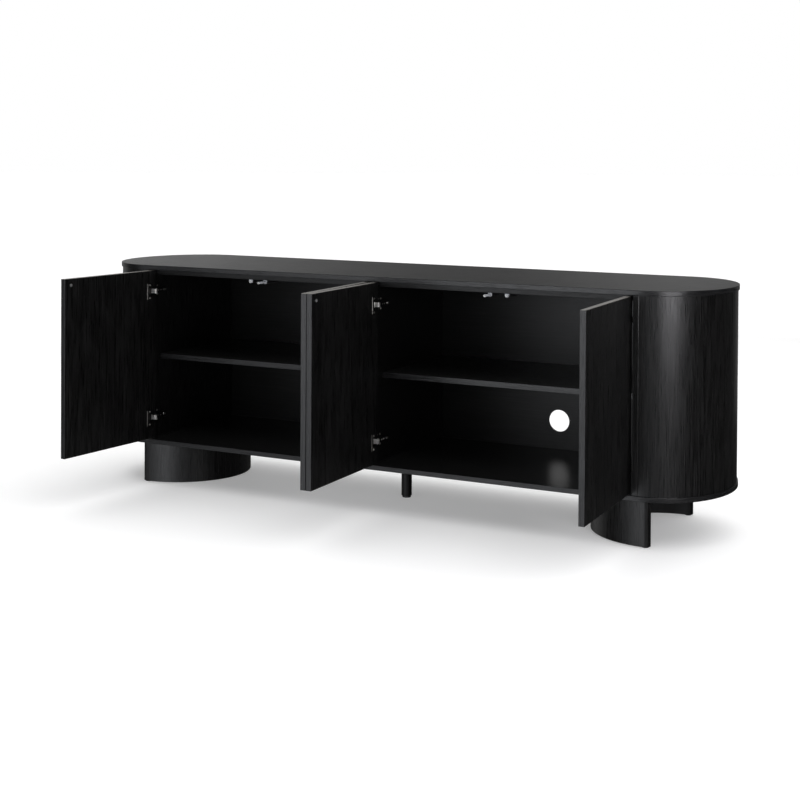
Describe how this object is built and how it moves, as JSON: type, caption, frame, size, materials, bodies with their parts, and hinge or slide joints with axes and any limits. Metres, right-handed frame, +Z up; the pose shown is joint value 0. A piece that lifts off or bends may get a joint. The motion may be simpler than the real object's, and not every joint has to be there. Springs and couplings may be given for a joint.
{
  "type": "media cabinet",
  "caption": "Long low black-stained wooden media cabinet with half-round ends, open hinged doors, a shelf in each bay, push latches, C-shaped end legs and a round centre leg.",
  "frame": {"origin": "floor level under the centre leg, which is the middle of the cabinet's plan", "axes": "+X to the right as seen from the front, +Y from the doors to the back, +Z up"},
  "size_m": [2.28, 0.9854, 0.783],
  "materials": {
    "top_veneer": "satin black-stained oak veneer, grain along the length",
    "case_veneer": "satin black-stained oak veneer, upright grain",
    "door_veneer": "satin black-stained oak veneer, upright grain",
    "leg_veneer": "satin black-stained oak veneer, upright grain",
    "interior_veneer": "matt black-stained veneer",
    "nickel": "nickel-plated pressed steel",
    "steel": "bright steel",
    "grey_plastic": "fine-grained light grey plastic",
    "black_plastic": "fine-grained black plastic"
  },
  "bodies": {
    "cabinet": {"top_panel": "top_veneer", "bottom_panel": "case_veneer", "side_panel_left": "case_veneer", "side_panel_right": "case_veneer", "end_shell_left": "case_veneer", "end_shell_right": "case_veneer", "leg_left": "leg_veneer", "leg_right": "leg_veneer", "leg_centre": "leg_veneer", "carcass_top": "interior_veneer", "centre_partition": "interior_veneer", "back_panel_left": "interior_veneer", "back_panel_right": "interior_veneer", "shelf_left": "interior_veneer", "shelf_right": "interior_veneer", "shelf_pin_left_outer_front": "nickel", "shelf_pin_left_outer_rear": "nickel", "shelf_pin_left_inner_front": "nickel", "shelf_pin_left_inner_rear": "nickel", "shelf_pin_right_outer_front": "nickel", "shelf_pin_right_outer_rear": "nickel", "shelf_pin_right_inner_front": "nickel", "shelf_pin_right_inner_rear": "nickel", "hinge_arm_1_upper": "nickel", "hinge_arm_1_lower": "nickel", "hinge_arm_2_upper": "nickel", "hinge_arm_2_lower": "nickel", "hinge_arm_3_upper": "nickel", "hinge_arm_3_lower": "nickel", "hinge_arm_4_upper": "nickel", "hinge_arm_4_lower": "nickel", "latch_1": "grey_plastic", "latch_2": "grey_plastic", "latch_3": "grey_plastic", "latch_4": "grey_plastic", "glide_left_front": "black_plastic", "glide_left_rear": "black_plastic", "glide_right_front": "black_plastic", "glide_right_rear": "black_plastic", "glide_centre": "black_plastic"},
    "door_1": {"door_1": "door_veneer", "strike_1": "steel", "hinge_cup_1_upper": "nickel", "hinge_cup_1_lower": "nickel"},
    "door_2": {"door_2": "door_veneer", "strike_2": "steel", "hinge_cup_2_upper": "nickel", "hinge_cup_2_lower": "nickel"},
    "door_3": {"door_3": "door_veneer", "strike_3": "steel", "hinge_cup_3_upper": "nickel", "hinge_cup_3_lower": "nickel"},
    "door_4": {"door_4": "door_veneer", "strike_4": "steel", "hinge_cup_4_upper": "nickel", "hinge_cup_4_lower": "nickel"},
    "plunger_1": {"plunger_1": "grey_plastic"},
    "plunger_2": {"plunger_2": "grey_plastic"},
    "plunger_3": {"plunger_3": "grey_plastic"},
    "plunger_4": {"plunger_4": "grey_plastic"}
  },
  "joints": [
    {"name": "door_1_hinge", "type": "hinge", "parent": "cabinet", "child": "door_1", "pos_m": [-0.8875, -0.2698, 0.4655], "axis": [0, 0, -1], "range_deg": [-95, 12]},
    {"name": "door_2_hinge", "type": "hinge", "parent": "cabinet", "child": "door_2", "pos_m": [-0.0115, -0.2698, 0.4655], "axis": [0, 0, 1], "range_deg": [-92.9, 0]},
    {"name": "door_3_hinge", "type": "hinge", "parent": "cabinet", "child": "door_3", "pos_m": [0.0115, -0.2698, 0.4655], "axis": [0, 0, -1], "range_deg": [-88.5, 0]},
    {"name": "door_4_hinge", "type": "hinge", "parent": "cabinet", "child": "door_4", "pos_m": [0.8875, -0.2698, 0.4655], "axis": [0, 0, 1], "range_deg": [-92.2, 14.8]},
    {"name": "plunger_1_slide", "type": "slide", "parent": "cabinet", "child": "plunger_1", "axis": [0, -1, 0], "range_m": [-0.0015, 0.04]},
    {"name": "plunger_2_slide", "type": "slide", "parent": "cabinet", "child": "plunger_2", "axis": [0, -1, 0], "range_m": [-0.04, 0]},
    {"name": "plunger_3_slide", "type": "slide", "parent": "cabinet", "child": "plunger_3", "axis": [0, -1, 0], "range_m": [-0.04, 0]},
    {"name": "plunger_4_slide", "type": "slide", "parent": "cabinet", "child": "plunger_4", "axis": [0, -1, 0], "range_m": [-0.0015, 0.04]}
  ],
  "couplings": [
    {"joint": "plunger_2_slide", "follows": "door_2_hinge", "m_per_rad": 0.02461},
    {"joint": "plunger_3_slide", "follows": "door_3_hinge", "m_per_rad": 0.02583}
  ]
}
